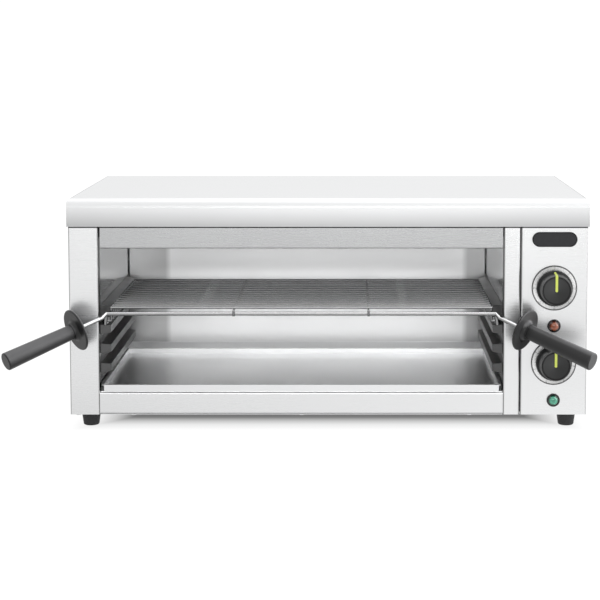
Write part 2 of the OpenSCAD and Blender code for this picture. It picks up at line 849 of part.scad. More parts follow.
// Insulator and threaded post at each tube end
module element_terminals() color("wheat") place() for (y = hairpin_y, s = [-1, 1])
    translate([tube_right_end, y + s * hairpin_w / 2, z_tube]) rotate([0, 90, 0]) {
        cylinder(h = insulator_l, d = insulator_d);
        translate([0, 0, insulator_l]) cylinder(h = terminal_l, d = terminal_d);
    }

// --- rack ----------------------------------------------------------------------------

// One side of the frame: the front corner with its handle rod, and the side rod in its slot
module frame_side() {
    corner = [x_corner, 0, z_rail];
    knee = [x_rod, corner_y, z_rod];
    handle_end = handle_root + (bare_rod_l + rod_in_grip) * handle_dir;
    bent_bar([corner, knee, [x_rod, grid_d, z_rod]], rod_r);
    bent_bar([corner, handle_root, handle_end], rod_r);
}

// Frame rod: raised front rail, side rods in the slots, low rear rail and two handle rods
module rack_frame() color("silver") place() {
    bar([-x_corner, 0, z_rail], [x_corner, 0, z_rail], rod_r, true, true);
    bar([-x_rod, grid_d, z_rod], [x_rod, grid_d, z_rod], rod_r, true, true);
    frame_side();
    mirror([1, 0, 0]) frame_side();
}

// Straight runs of the long wires, and two cross wires under them that hook over the rails
module rack_wires() color("silver") place() {
    hook = rod_r + wire_r - weld;
    for (i = [0 : wire_count - 1]) {
        y = wire_y0 + i * wire_step;
        bar([-x_bend, y, z_grid], [x_bend, y, z_grid], wire_r);
    }
    for (s = [left, right]) bent_bar([
        [s * cross_x, -hook, z_rail - rod_r], [s * cross_x, -hook, z_cross],
        [s * cross_x, grid_d + hook, z_cross], [s * cross_x, grid_d + hook, z_rod - rod_r]
    ], wire_r);
}

// Bent ends of the long wires at one side: down from the grid and out onto the side rod
module wire_ends(side) for (i = [0 : wire_count - 1]) {
    y = wire_y0 + i * wire_step;
    bent_bar([
        [side * x_bend, y, z_grid], [side * x_drop, y, z_grid],
        [side * x_drop, y, z_foot_wire], [side * x_rod, y, z_foot_wire]
    ], wire_r);
}

module left_wire_ends() color("silver") place() wire_ends(left);
module right_wire_ends() color("silver") place() wire_ends(right);

// Domed disc that keeps the hand off the hot front: a round rim, and a filleted hub that
// takes the grip
module guard(side) on_handle(side, guard_at) difference() {
    rim_r = guard_t / 2;
    face_r = guard_d / 2 - rim_r;
    rotate_extrude() {
        polygon([[0, -guard_dome], [face_r, 0], [face_r, guard_t], [0, guard_t]]);
        translate([face_r, rim_r]) circle(rim_r);
        square([hub_d / 2, hub_l]);
        translate([hub_d / 2, guard_t]) difference() {
            square(hub_fillet);
            translate([hub_fillet, hub_fillet]) circle(hub_fillet);
        }
    }
    translate([0, 0, grip_start]) cylinder(h = hub_l, r = grip_d / 2 + grip_fit);
    translate([0, 0, -2 * guard_dome]) cylinder(h = 2 * hub_l, r = rod_r + spindle_fit);
}

module left_guard() color("dimgray") place() guard(left);
module right_guard() color("dimgray") place() guard(right);

// Tapered hand grip with a rounded free end
module grip(side) on_handle(side, guard_at) difference() {
    r0 = grip_d / 2;
    r1 = grip_end_d / 2;
    rotate_extrude() {
        polygon([[0, grip_start], [r0, grip_start], [r1, grip_l - grip_edge_r],
                 [r1 - grip_edge_r, grip_l - grip_edge_r], [r1 - grip_edge_r, grip_l],
                 [0, grip_l]]);
        intersection() {
            translate([r1 - grip_edge_r, grip_l - grip_edge_r]) circle(grip_edge_r);
            translate([r1 - grip_edge_r, grip_l - grip_edge_r]) square(grip_edge_r);
        }
    }
    cylinder(h = rod_in_grip, r = rod_r + spindle_fit);
}

module left_grip() color("dimgray") place() grip(left);
module right_grip() color("dimgray") place() grip(right);

// --- drip tray -----------------------------------------------------------------------

// Outline of the tray in plan, drawn in by inset
module tray_plan(inset) {
    r = max(tray_corner_r - inset, 1);
    x = x_tray - inset;
    y0 = tray_y0 + inset;
    y1 = tray_y0 + tray_d - inset;
    translate([-x + r, y0]) square([2 * (x - r), y1 - y0]);
    translate([-x, y0 + r]) square([2 * x, y1 - y0 - 2 * r]);
    for (sx = [-1, 1], y = [y0 + r, y1 - r]) translate([sx * (x - r), y]) circle(r);
}

module drip_tray() color("gainsboro") place() difference() {
    union() {
        upright(z_tray, tray_h) tray_plan(tray_rim - tray_t);
        upright(z_tray + tray_h - tray_t, tray_t) tray_plan(0);
        translate([-x_tray + tray_corner_r, tray_y0, z_tray])
            cube([2 * (x_tray - tray_corner_r), tray_t, tray_h]);
    }
    upright(z_tray + tray_t, tray_h) tray_plan(tray_rim);
}

// --- controls ------------------------------------------------------------------------

module on_panel(z) translate([x_dial, 0, z]) rotate([90, 0, 0]) children();

// Scale ring with a raised lip, and a hole for the spindle's bush
module scale_ring(z) on_panel(z) rotate_extrude() polygon([
    [spindle_hole_d / 2, 0], [ring_d / 2, 0], [ring_d / 2, ring_t],
    [ring_d / 2 - ring_lip, ring_t], [ring_d / 2 - ring_lip, ring_t - ring_step],
    [spindle_hole_d / 2, ring_t - ring_step]
]);

module upper_scale_ring() color("white") place() scale_ring(z_upper);
module lower_scale_ring() color("white") place() scale_ring(z_lower);

// Round knob: a skirt, and a slightly tapered cap with a rounded rim and a fine groove
// round its face, on a bore for the spindle
module knob(z) translate([0, knob_back, 0]) on_panel(z) difference() {
    groove_r = face_groove_d / 2;
    rotate_extrude() {
        polygon([
            [0, 0], [skirt_r, 0], [skirt_r, skirt_t - skirt_edge],
            [skirt_r - skirt_edge, skirt_t], [flare_r, skirt_t + knob_rise],
            [cap_r, knob_h - knob_edge], [cap_r - knob_edge, knob_h - knob_edge],
            [cap_r - knob_edge, knob_h], [groove_r, knob_h], [groove_r, knob_h - groove_deep],
            [groove_r - groove_w, knob_h - groove_deep], [groove_r - groove_w, knob_h],
            [0, knob_h]
        ]);
        translate([cap_r - knob_edge, knob_h - knob_edge]) intersection() {
            circle(knob_edge);
            square(knob_edge);
        }
    }
    translate([0, 0, -1]) cylinder(h = knob_bore_l + 1, d = spindle_d + 2 * spindle_fit);
    pointer_block(pointer_fit);
}

// Pointer strip with round ends, from the middle of the knob's face over the cap's rim and
// down its side to the skirt. fit widens it into the pocket that it lies in.
module pointer_block(fit) {
    w = pointer_w + 2 * fit;
    deep = pointer_deep + fit;
    out = pointer_proud;
    rim = knob_edge + out;
    rim_at = [cap_r - knob_edge, knob_h - knob_edge];
    intersection() {
        upright(0, knob_h + 2 * out) translate([0, pointer_tip_r / 2]) rotate(90)
            slot_2d(pointer_tip_r + w, w);
        along_x(-w, 2 * w) polygon([
            [-w, knob_h + out], rim_at + [0, rim], rim_at + rim * [cos(60), sin(60)],
            rim_at + rim * [cos(30), sin(30)], rim_at + [rim, 0],
            [flare_r + out, skirt_t + knob_rise + out], [skirt_r, skirt_t + out],
            [skirt_r, skirt_t - deep], [flare_r - deep, skirt_t - deep],
            [cap_r - knob_edge - deep, knob_h - deep], [-w, knob_h - deep]
        ]);
    }
}

module thermostat_knob() color("dimgray") place() knob(z_upper);
module timer_knob() color("dimgray") place() knob(z_lower);

module pointer(z) translate([0, knob_back, 0]) on_panel(z) pointer_block(0);

module thermostat_pointer() color("yellowgreen") place() pointer(z_upper);
module timer_pointer() color("yellowgreen") place() pointer(z_lower);

// Spindle from the knob to the inside of its switch, with a flat for the knob
module spindle(z) translate([0, knob_back - knob_bore_l, 0]) on_panel(z) mirror([0, 0, 1])
    difference() {
        cylinder(h = spindle_l, d = spindle_d);
        translate([-spindle_d, spindle_d / 2 - spindle_flat, -1])
            cube([2 * spindle_d, spindle_d, knob_bore_l]);
    }

module thermostat_spindle() color("silver") place() spindle(z_upper);
module timer_spindle() color("silver") place() spindle(z_lower);

// Body of a rotary control behind the panel, with its bush through the panel
module rotary_control(z, w, h, d) translate([0, switch_y, 0]) on_panel(z) mirror([0, 0, 1])
    difference() {
        union() {
            translate([-w / 2, -h / 2, 0]) cube([w, h, d]);
            translate([0, 0, -switch_y - 1]) cylinder(h = switch_y + 2, d = bush_d);
            for (s = [-1, 1]) translate([s * w / 4 - switch_tabs[0] / 2, -switch_tabs[1] / 2, d])
                cube(switch_tabs);
        }
        translate([0, 0, -2 * switch_y - 1])
            cylinder(h = 2 * switch_y + 1 + d - switch_floor, d = spindle_d + 2 * spindle_fit);
    }

module thermostat_body() color("wheat") place()
    rotary_control(z_upper, thermostat_w, thermostat_h, thermostat_l);

module timer_body() color("wheat") place() rotary_control(z_lower, timer_w, timer_h, timer_l);

// Sensing bulb of the thermostat under the roof, with its thin tube to the control
module capillary_bulb() color("peru") place() {
    bend_y = switch_y + thermostat_l + capillary_loop;
    tap_z = z_upper + thermostat_h / 4;
    bar([bulb_x[0], bulb_y, bulb_z], [bulb_x[1], bulb_y, bulb_z], bulb_d / 2);
    for (x = [bulb_x[0] + bulb_clip_w, bulb_x[1] - 2 * bulb_clip_w])
        translate([x, bulb_y, bulb_z - bulb_clip_t / 2])
            cube([bulb_clip_w, cavity_d - bulb_y, bulb_clip_t]);
    bent_bar([
        [bulb_x[1] - bulb_d, bulb_y, bulb_z], [x_dial, bulb_y, bulb_z], [x_dial, bend_y, bulb_z],
        [x_dial, bend_y, tap_z], [x_dial, switch_y + thermostat_l, tap_z]
    ], capillary_d / 2);
}

// --- lamps ---------------------------------------------------------------------------

module lamp_bezels() color("black") place() for (z = [z_upper, z_lower])
    on_panel(z - lamp_drop) rotate_extrude() polygon([
        [lens_d / 2 + lens_fit, 0], [lamp_d / 2, 0], [lamp_d / 2, bezel_t - bezel_edge],
        [lamp_d / 2 - bezel_edge, bezel_t], [lens_d / 2 + lens_fit, bezel_t]
    ]);

// Domed lens: the cap of a sphere on a short stem
module lamp_lens(z) on_panel(z - lamp_drop) {
    r = lens_d / 2;
    stem = bezel_t - lens_sunk;
    ball_r = (r * r + lamp_dome * lamp_dome) / (2 * lamp_dome);
    cylinder(h = stem, r = r);
    intersection() {
        translate([0, 0, stem + lamp_dome - ball_r]) sphere(ball_r);
        translate([0, 0, stem - eps]) cylinder(h = 2 * lamp_dome, r = r);
    }
}

module heating_lamp_lens() color("orangered") place() lamp_lens(z_upper);
module power_lamp_lens() color("mediumseagreen") place() lamp_lens(z_lower);

module lamp_housings() color("black") place() for (z = [z_upper, z_lower])
    on_panel(z - lamp_drop) mirror([0, 0, 1]) {
        cylinder(h = lamp_body_l, d = lamp_body_d);
        translate([0, 0, sheet]) cylinder(h = lamp_nut_t, d = lamp_nut_d);
        for (s = [-1, 1])
            translate([s * lamp_body_d / 4 - lamp_tabs[0] / 2, -lamp_tabs[1] / 2, lamp_body_l])
                cube(lamp_tabs);
    }

// --- electrical parts, feet and screws -------------------------------------------------

// Terminal block on the base, with a row of round clamping wells
module terminal_block() color("white") place()
    translate([x_dial - block_w / 2, casing_d - block_back, z0 + sheet]) difference() {
        cube([block_w, block_d, block_h]);
        for (i = [0 : block_wells - 1])
            translate([(i + 0.5) * block_w / block_wells, block_d / 2, block_h / 2])
                cylinder(h = block_h, d = block_well_d);
    }

// Flanged bush in the rear panel where the supply cable enters
module cable_inlet() color("black") place() translate([inlet_x, 0, inlet_z]) rotate([-90, 0, 0])
    difference() {
        union() {
            translate([0, 0, casing_d])
                cylinder(h = inlet_flange_t, d = inlet_d + 2 * inlet_flange_w);
            translate([0, 0, casing_d - inlet_in]) cylinder(h = inlet_in + inlet_out, d = inlet_d);
        }
        translate([0, 0, casing_d - 2 * inlet_in]) cylinder(h = 4 * inlet_in, d = inlet_bore_d);
    }

// Tapered rubber foot with a rounded tread and a well for its screw
module foot() difference() {
    rb = foot_bottom_d / 2;
    rotate_extrude() {
        polygon([
            [0, 0], [rb - foot_round, 0], [rb - foot_round, foot_round], [rb, foot_round],
            [foot_top_d / 2, foot_h], [0, foot_h]
        ]);
        intersection() {
            translate([rb - foot_round, foot_round]) circle(foot_round);
            translate([rb - foot_round, 0]) square(foot_round);
        }
    }
    translate([0, 0, -1]) cylinder(h = foot_h + 2, d = foot_bore_d);
    translate([0, 0, -1]) cylinder(h = foot_h / 2 + 1, d = foot_well_d);
}

module feet() color("black") place()
    for (x = foot_x, y = foot_y) translate([x, y, 0]) foot();

// Screws up through the feet, with nuts on the base
module foot_screws() color("silver") place() for (x = foot_x, y = foot_y)
    translate([x, y, foot_h / 2 - foot_head_t]) {
        reach = foot_h / 2 + foot_head_t + sheet;
        cylinder(h = foot_head_t, d = foot_head_d);
        cylinder(h = reach + foot_screw_out, d = foot_screw_d);
        translate([0, 0, reach]) cylinder(h = foot_nut_t, r = foot_nut_r, $fn = 6);
    }

module pan_screw(l) {
    cylinder(h = l, d = screw_d);
    translate([0, 0, -head_t]) rotate_extrude() polygon([
        [0, 0], [(head_d - head_t) / 2, 0], [head_d / 2, head_t / 2], [head_d / 2, head_t],
        [0, head_t]
    ]);
}

// Pan head screws in the rear panel, in the cover's rear skirt and along the underside
module casing_screws() color("silver") place() {
    for (p = rear_screws)
        translate([p[0], casing_d, p[1]]) rotate([90, 0, 0]) pan_screw(2 * sheet + seam);
    for (x = cover_screw_x) translate([x, cover_y1, cover_screw_z])
        rotate([90, 0, 0]) pan_screw(cover_sheet + cover_gap + sheet);
    for (x = base_screw_x) translate([x, base_screw_y, z0]) pan_screw(sheet);
}

// --- nodes ---------------------------------------------------------------------------

top_cover();
left_side_panel();
control_side_panel();
right_post();
upper_fascia();
front_sill();
base_plate();
rear_panel();
cover_rails();
nameplate();
cavity_back();
cavity_floor();
left_liner();
right_liner();
left_rack_guide();
right_rack_guide();
heat_reflector();
heating_elements();
element_hangers();
element_bushes();
element_terminals();
rack_frame();
rack_wires();
left_wire_ends();
right_wire_ends();
left_guard();
right_guard();
left_grip();
right_grip();
drip_tray();
upper_scale_ring();
lower_scale_ring();
thermostat_knob();
timer_knob();
thermostat_pointer();
timer_pointer();
thermostat_spindle();
timer_spindle();
thermostat_body();
timer_body();
capillary_bulb();
lamp_bezels();
heating_lamp_lens();
power_lamp_lens();
lamp_housings();
terminal_block();
cable_inlet();
feet();
foot_screws();
casing_screws();
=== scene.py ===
"""Looks of the countertop cheese melter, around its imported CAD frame. Metres, frame of the part."""
import json
import math

import bmesh
import bpy
from mathutils import Matrix, Vector


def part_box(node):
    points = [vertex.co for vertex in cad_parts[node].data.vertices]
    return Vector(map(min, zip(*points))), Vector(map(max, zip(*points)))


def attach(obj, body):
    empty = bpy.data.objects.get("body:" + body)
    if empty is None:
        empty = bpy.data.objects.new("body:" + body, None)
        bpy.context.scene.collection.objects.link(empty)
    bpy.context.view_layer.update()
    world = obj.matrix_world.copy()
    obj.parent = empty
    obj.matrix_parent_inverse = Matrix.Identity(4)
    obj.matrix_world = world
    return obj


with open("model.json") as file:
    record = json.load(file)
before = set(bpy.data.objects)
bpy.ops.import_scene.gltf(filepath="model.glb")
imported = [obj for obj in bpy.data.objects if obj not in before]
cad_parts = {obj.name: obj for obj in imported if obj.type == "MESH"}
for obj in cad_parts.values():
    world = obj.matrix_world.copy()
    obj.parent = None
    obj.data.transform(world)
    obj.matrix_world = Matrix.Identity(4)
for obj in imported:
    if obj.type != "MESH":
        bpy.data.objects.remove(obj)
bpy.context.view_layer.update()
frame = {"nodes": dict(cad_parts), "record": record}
MM = 0.001

FINE, BROAD, ALONG = 2600, 500, 30  # how many brushing streaks a metre, across and along them
PAINTED_SHADOW_LEVEL = 0.05  # what is left of a colour in the painted shadow line under the cover's edge

# --- places that the frame gives ---------------------------------------------------------------
front_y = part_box("right_post")[0][1]
cover_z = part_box("top_cover")[0][2]
fascia_x = [painted_corner_shade[0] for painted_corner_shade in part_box("upper_fascia")]
gap_middle = sum(fascia_x) / 2
gap_reach = (fascia_x[1] - fascia_x[0]) / 2 + 3.2 * MM
ring_boxes = {"thermostat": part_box("upper_scale_ring"), "timer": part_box("lower_scale_ring")}
ring_lip = 0.2 * MM  # how far a scale ring's face lies behind its front edge


def middle(box):
    return [(box[0][i] + box[1][i]) / 2 for i in range(3)]


# --- node helpers ------------------------------------------------------------------------------
class Graph:
    """The node tree of a material or world, with short calls for the nodes used here."""

    def __init__(self, owner):
        owner.use_nodes = True
        self.owner = owner
        self.tree = owner.node_tree
        self.shader = self.tree.nodes.get("Principled BSDF")
        self.coord = None

    def node(self, kind, **values):
        node = self.tree.nodes.new(kind)
        for key, value in values.items():
            setattr(node, key, value)
        return node

    def link(self, a, b):
        self.tree.links.new(a, b)

    def set(self, **values):
        for key, value in values.items():
            self.shader.inputs[key.replace("_", " ")].default_value = value

    def place(self, scale=(1, 1, 1)):
        if self.coord is None:
            self.coord = self.node("ShaderNodeTexCoord")
        mapping = self.node("ShaderNodeMapping")
        mapping.inputs["Scale"].default_value = scale
        self.link(self.coord.outputs["Object"], mapping.inputs["Vector"])
        return mapping.outputs["Vector"]

    def noise(self, vector, scale, detail):
        node = self.node("ShaderNodeTexNoise")
        node.inputs["Scale"].default_value = scale
        node.inputs["Detail"].default_value = detail
        self.link(vector, node.inputs["Vector"])
        return node.outputs["Fac"]

    def span(self, value, low, high, from_low=0.3, from_high=0.7):
        node = self.node("ShaderNodeMapRange")
        node.inputs["From Min"].default_value = from_low
        node.inputs["From Max"].default_value = from_high
        node.inputs["To Min"].default_value = low
        node.inputs["To Max"].default_value = high
        self.link(value, node.inputs["Value"])
        return node.outputs["Result"]

    def ramp(self, value, stops):
        node = self.node("ShaderNodeValToRGB")
        ramp = node.color_ramp
        while len(ramp.elements) < len(stops):
            ramp.elements.new(0.5)
        for element, (at, color) in zip(ramp.elements, stops):
            element.position = at
            element.color = (*color, 1)
        self.link(value, node.inputs["Fac"])
        return node.outputs["Color"]

    def math(self, operation, *values):
        node = self.node("ShaderNodeMath", operation=operation)
        for socket, value in zip(node.inputs, values):
            if isinstance(value, (int, float)):
                socket.default_value = value
            else:
                self.link(value, socket)
        return node.outputs[0]

    def hypot(self, a, b):
        return self.math("SQRT", self.math("ADD", self.math("MULTIPLY", a, a),
                                           self.math("MULTIPLY", b, b)))

    def axes(self, kind):
        """The three parts of a texture coordinate, such as the position or the normal."""
        if self.coord is None:
            self.coord = self.node("ShaderNodeTexCoord")
        split = self.node("ShaderNodeSeparateXYZ")
        self.link(self.coord.outputs[kind], split.inputs[0])
        return split.outputs

    def shade(self, color, factor):
        """Multiplies a colour by a number between 0 and 1."""
        grow = self.node("ShaderNodeVectorMath", operation="SCALE")
        self.link(color, grow.inputs[0])
        self.link(factor, grow.inputs["Scale"])
        return grow.outputs[0]

    def bump(self, height, strength, distance=0.0002):
        node = self.node("ShaderNodeBump")
        node.inputs["Strength"].default_value = strength
        node.inputs["Distance"].default_value = distance
        self.link(height, node.inputs["Height"])
        self.link(node.outputs["Normal"], self.shader.inputs["Normal"])


def grey(value, tint=0.0):
    return (value - tint, value, value + tint)


def brushed(name, tone, rough, along, streak, spread=0.02, aniso=0.35, painted_fold_shade=1.0, painted_seam_shadow=False,
            painted_drop_shade=None, painted_corner_shade=None):
    """Brushed sheet: fine streaks along one axis in colour, roughness and bump.

    With fold less than 1 the rounded folds beside a side face get painted shade, and seam paints a
    shadow line under the cover's edge and painted shade on the flanks beside the opening's sheets.
    drop = (low, high, factor) paints shade that deepens downwards from high to low, and corner =
    (middle, inner, outer, factor) darkens the bands at the two ends of a wall, a painted reflection.
    """
    g = Graph(bpy.data.materials.new(name))
    g.set(Metallic=1.0, Anisotropic=aniso)
    fine = [ALONG if axis == along else FINE for axis in "xyz"]
    broad = [4 if axis == along else BROAD for axis in "xyz"]
    lines = g.noise(g.place(fine), 1, 2)
    bands = g.noise(g.place(broad), 1, 3)
    cloud = g.noise(g.place(), 6, 3)
    mixed = g.math("MULTIPLY_ADD", lines, 0.6, g.span(bands, 0.1, 0.3))
    color = g.ramp(mixed, [(0.2, grey(tone - streak, 0.004)), (0.85, grey(tone + streak, 0.004))])
    # Painted shade on the rounded folds beside a side face.
    if painted_fold_shade < 1:
        normal = g.axes("Normal")
        square = g.math("MULTIPLY", normal[0], normal[0])
        turn = g.math("MULTIPLY", square, g.math("SUBTRACT", 1.0, square))
        color = g.shade(color, g.span(turn, 1, painted_fold_shade, 0.02, 0.14))
    # Painted shade that deepens downwards from high to low.
    if painted_drop_shade:
        low, high, factor = painted_drop_shade
        color = g.shade(color, g.span(g.axes("Object")[2], factor, 1, low, high))
    # Painted reflection: darker bands at the two ends of a wall, where the side walls are mirrored.
    if painted_corner_shade:
        centre, inner, outer, factor = painted_corner_shade
        reach = g.math("ABSOLUTE", g.math("SUBTRACT", g.axes("Object")[0], centre))
        color = g.shade(color, g.span(reach, 1, factor, inner, outer))
    # Painted shadow: a dark line just under the cover's edge, and painted shade on the side faces
    # beside the opening's sheets, so that the gaps there look dark.
    if painted_seam_shadow:
        at, normal = g.axes("Object"), g.axes("Normal")
        painted_shadow_under_cover = g.span(at[2], 1, PAINTED_SHADOW_LEVEL, cover_z - 1.9 * MM, cover_z - 1.3 * MM)
        color = g.shade(color, painted_shadow_under_cover)
        off = g.math("ABSOLUTE", g.math("SUBTRACT", at[0], gap_middle))
        near = g.math("LESS_THAN", off, gap_reach)
        painted_flank_shade = g.math("MULTIPLY", near, g.span(g.math("ABSOLUTE", normal[0]), 0, 1, 0.8, 0.95))
        color = g.shade(color, g.span(painted_flank_shade, 1, 0.08, 0, 1))
    g.link(color, g.shader.inputs["Base Color"])
    g.link(g.math("ADD", g.span(lines, rough - spread, rough + spread), g.span(cloud, -0.02, 0.02)),
           g.shader.inputs["Roughness"])
    g.bump(lines, 0.015, 0.0001)
    return g.owner


def stamped(name, dark, light, rough):
    """Stamped guide: dark faces of painted shade, and painted light on the flanks that face up or
    down.
    """
    g = Graph(bpy.data.materials.new(name))
    g.set(Metallic=1.0)
    cloud = g.noise(g.place(), 40, 3)
    normal = g.axes("Normal")
    # Painted light on the flanks that face up or down.
    edge = g.span(g.math("ABSOLUTE", normal[2]), 0, 1, 0.2, 0.6)
    both = g.math("ADD", edge, g.span(cloud, -0.08, 0.08))
    g.link(g.ramp(both, [(0.1, grey(dark)), (0.9, grey(light))]), g.shader.inputs["Base Color"])
    g.link(g.span(cloud, rough - 0.05, rough + 0.05), g.shader.inputs["Roughness"])
    g.bump(g.noise(g.place((900, 20, 900)), 1, 2), 0.04)
    return g.owner


def badge(name, box, face, rim):
    """Bare plate: satin face inside a black rim that follows its round ends."""
    g = Graph(bpy.data.materials.new(name))
    g.set(Metallic=0.0, Specular_IOR_Level=0.3)
    at = g.axes("Object")
    centre = middle(box)
    half = (box[1][2] - box[0][2]) / 2
    straight = (box[1][0] - box[0][0]) / 2 - half
    off = g.math("ABSOLUTE", g.math("SUBTRACT", at[0], centre[0]))
    along = g.math("MAXIMUM", g.math("SUBTRACT", off, straight), 0.0)
    away = g.hypot(along, g.math("SUBTRACT", at[2], centre[2]))
    cloud = g.noise(g.place(), 300, 2)
    face_low, face_high = tuple(c * 0.9 for c in face), tuple(c * 1.1 for c in face)
    base = g.ramp(cloud, [(0.3, face_low), (0.7, face_high)])
    edge = g.span(away, 1, rim, half - 1.5 * MM, half - 1.1 * MM)
    g.link(g.shade(base, edge), g.shader.inputs["Base Color"])
    g.link(g.span(cloud, 0.42, 0.5), g.shader.inputs["Roughness"])
    g.bump(g.noise(g.place(), 900, 2), 0.04)
    return g.owner


def plated(name, tone, rough, under):
    """Bright plated wire with faint drawing marks and cloudy spots, with painted shade on its lower
    side down to the factor under."""
    g = Graph(bpy.data.materials.new(name))
    g.set(Metallic=1.0)
    cloud = g.noise(g.place(), 60, 4)
    color = g.ramp(cloud, [(0.3, grey(tone - 0.05, 0.006)), (0.7, grey(tone + 0.03, 0.004))])
    # Painted shade on the lower side of the wire.
    painted_underside_shade = g.span(g.axes("Normal")[2], under, 1, 0.25, 0.8)
    g.link(g.shade(color, painted_underside_shade), g.shader.inputs["Base Color"])
    g.link(g.span(cloud, rough * 0.7, rough * 1.4), g.shader.inputs["Roughness"])
    g.bump(g.noise(g.place((30, 900, 900)), 1, 2), 0.04)
    return g.owner


def plastic(name, color, rough, grain=900, bump=0.12, vary=0.15, coat=0.0, shine=0.5,
            painted_sheen=1.0):
    """Moulded plastic or rubber: a fine moulded grain and a slight cloudiness. lit is how much
    paler the faces are that look up or to the right: a painted highlight."""
    g = Graph(bpy.data.materials.new(name))
    g.set(Metallic=0.0, Coat_Weight=coat, Coat_Roughness=0.08, Specular_IOR_Level=shine)
    fine = g.noise(g.place(), grain, 3)
    cloud = g.noise(g.place(), 25, 3)
    dark = tuple(c * (1 - vary) for c in color)
    light = tuple(c * (1 + vary) for c in color)
    base = g.ramp(cloud, [(0.3, dark), (0.7, light)])
    # Painted highlight: faces that look up or to the right are paler.
    if painted_sheen > 1:
        normal = g.axes("Normal")
        facing = g.math("MULTIPLY_ADD", normal[0], 0.75, g.math("MULTIPLY", normal[2], 0.66))
        base = g.shade(base, g.span(facing, 1, painted_sheen, 0.25, 1.0))
    g.link(base, g.shader.inputs["Base Color"])
    g.link(g.span(fine, rough - 0.05, rough + 0.07), g.shader.inputs["Roughness"])
    g.bump(fine, bump, 0.00015)
    return g.owner


def turned(name, centre, stops, rough, sweep, metallic=0.0, shine=0.5):
    """A round piece about the Y axis through centre. Its colour follows the stops, each a radius in
    millimetres and a grey, and its angle by sweep = (waves, phase, factor), a painted sheen."""
    g = Graph(bpy.data.materials.new(name))
    g.set(Metallic=metallic, Specular_IOR_Level=shine)
    at = g.axes("Object")
    x, z = g.math("SUBTRACT", at[0], centre[0]), g.math("SUBTRACT", at[2], centre[2])
    radius = g.hypot(x, z)
    cloud = g.noise(g.place(), 300, 2)
    full = 30  # the radius at the ramp's end
    reach = g.math("ADD", g.span(radius, 0, 1, 0, full * MM), g.span(cloud, -0.004, 0.004))
    color = g.ramp(reach, [(r / full, grey(value, 0.0005)) for r, value in stops])
    # Painted sheen: lighter and darker waves round the centre, which turn with the piece.
    waves, phase, factor = sweep
    angle = g.math("ARCTAN2", z, x)
    wave = g.math("SINE", g.math("MULTIPLY_ADD", angle, waves, phase))
    g.link(g.shade(color, g.span(wave, factor, 1, -1, 1)), g.shader.inputs["Base Color"])
    g.link(g.span(cloud, rough - 0.03, rough + 0.04), g.shader.inputs["Roughness"])
    g.bump(g.noise(g.place(), 1300, 2), 0.05)
    return g.owner


def lens(name, deep, bright, centre):
    """Translucent coloured lamp lens: painted light in the middle and in a ring, painted shade at its
    rim.
    """
    g = Graph(bpy.data.materials.new(name))
    g.set(Metallic=0.0, Coat_Weight=0.6, Coat_Roughness=0.03)
    place = g.place()
    away = g.node("ShaderNodeVectorMath", operation="DISTANCE")
    g.link(place, away.inputs[0])
    away.inputs[1].default_value = centre
    wave = g.math("MULTIPLY_ADD", g.noise(place, 500, 2), 2.2 * MM, away.outputs["Value"])
    reach = g.span(wave, 0, 1, 0.5 * MM, 7.8 * MM)
    between = tuple((a + b) / 2 for a, b in zip(deep, bright))
    rim = tuple(c * 0.25 for c in deep)
    # Painted light in the middle and in a ring, painted shade at the rim.
    g.link(g.ramp(reach, [(0.0, bright), (0.45, between), (0.62, bright), (0.8, deep), (1.0, rim)]),
           g.shader.inputs["Base Color"])
    g.link(g.span(g.noise(place, 900, 2), 0.08, 0.2), g.shader.inputs["Roughness"])
    g.bump(g.noise(place, 700, 2), 0.1)
    return g.owner


def heated(name):
    """Heating tube: dark oxidised metal with a faint brown and blue cast along it."""
    g = Graph(bpy.data.materials.new(name))
    g.set(Metallic=0.85)
    cloud = g.noise(g.place((6, 30, 30)), 1.5, 4)
    brown, dull, blue = (0.10, 0.085, 0.075), (0.16, 0.145, 0.135), (0.11, 0.115, 0.14)
    g.link(g.ramp(cloud, [(0.25, brown), (0.5, dull), (0.75, blue)]), g.shader.inputs["Base Color"])
    g.link(g.span(cloud, 0.38, 0.6), g.shader.inputs["Roughness"])
    g.bump(g.noise(g.place(), 700, 3), 0.15)
    return g.owner


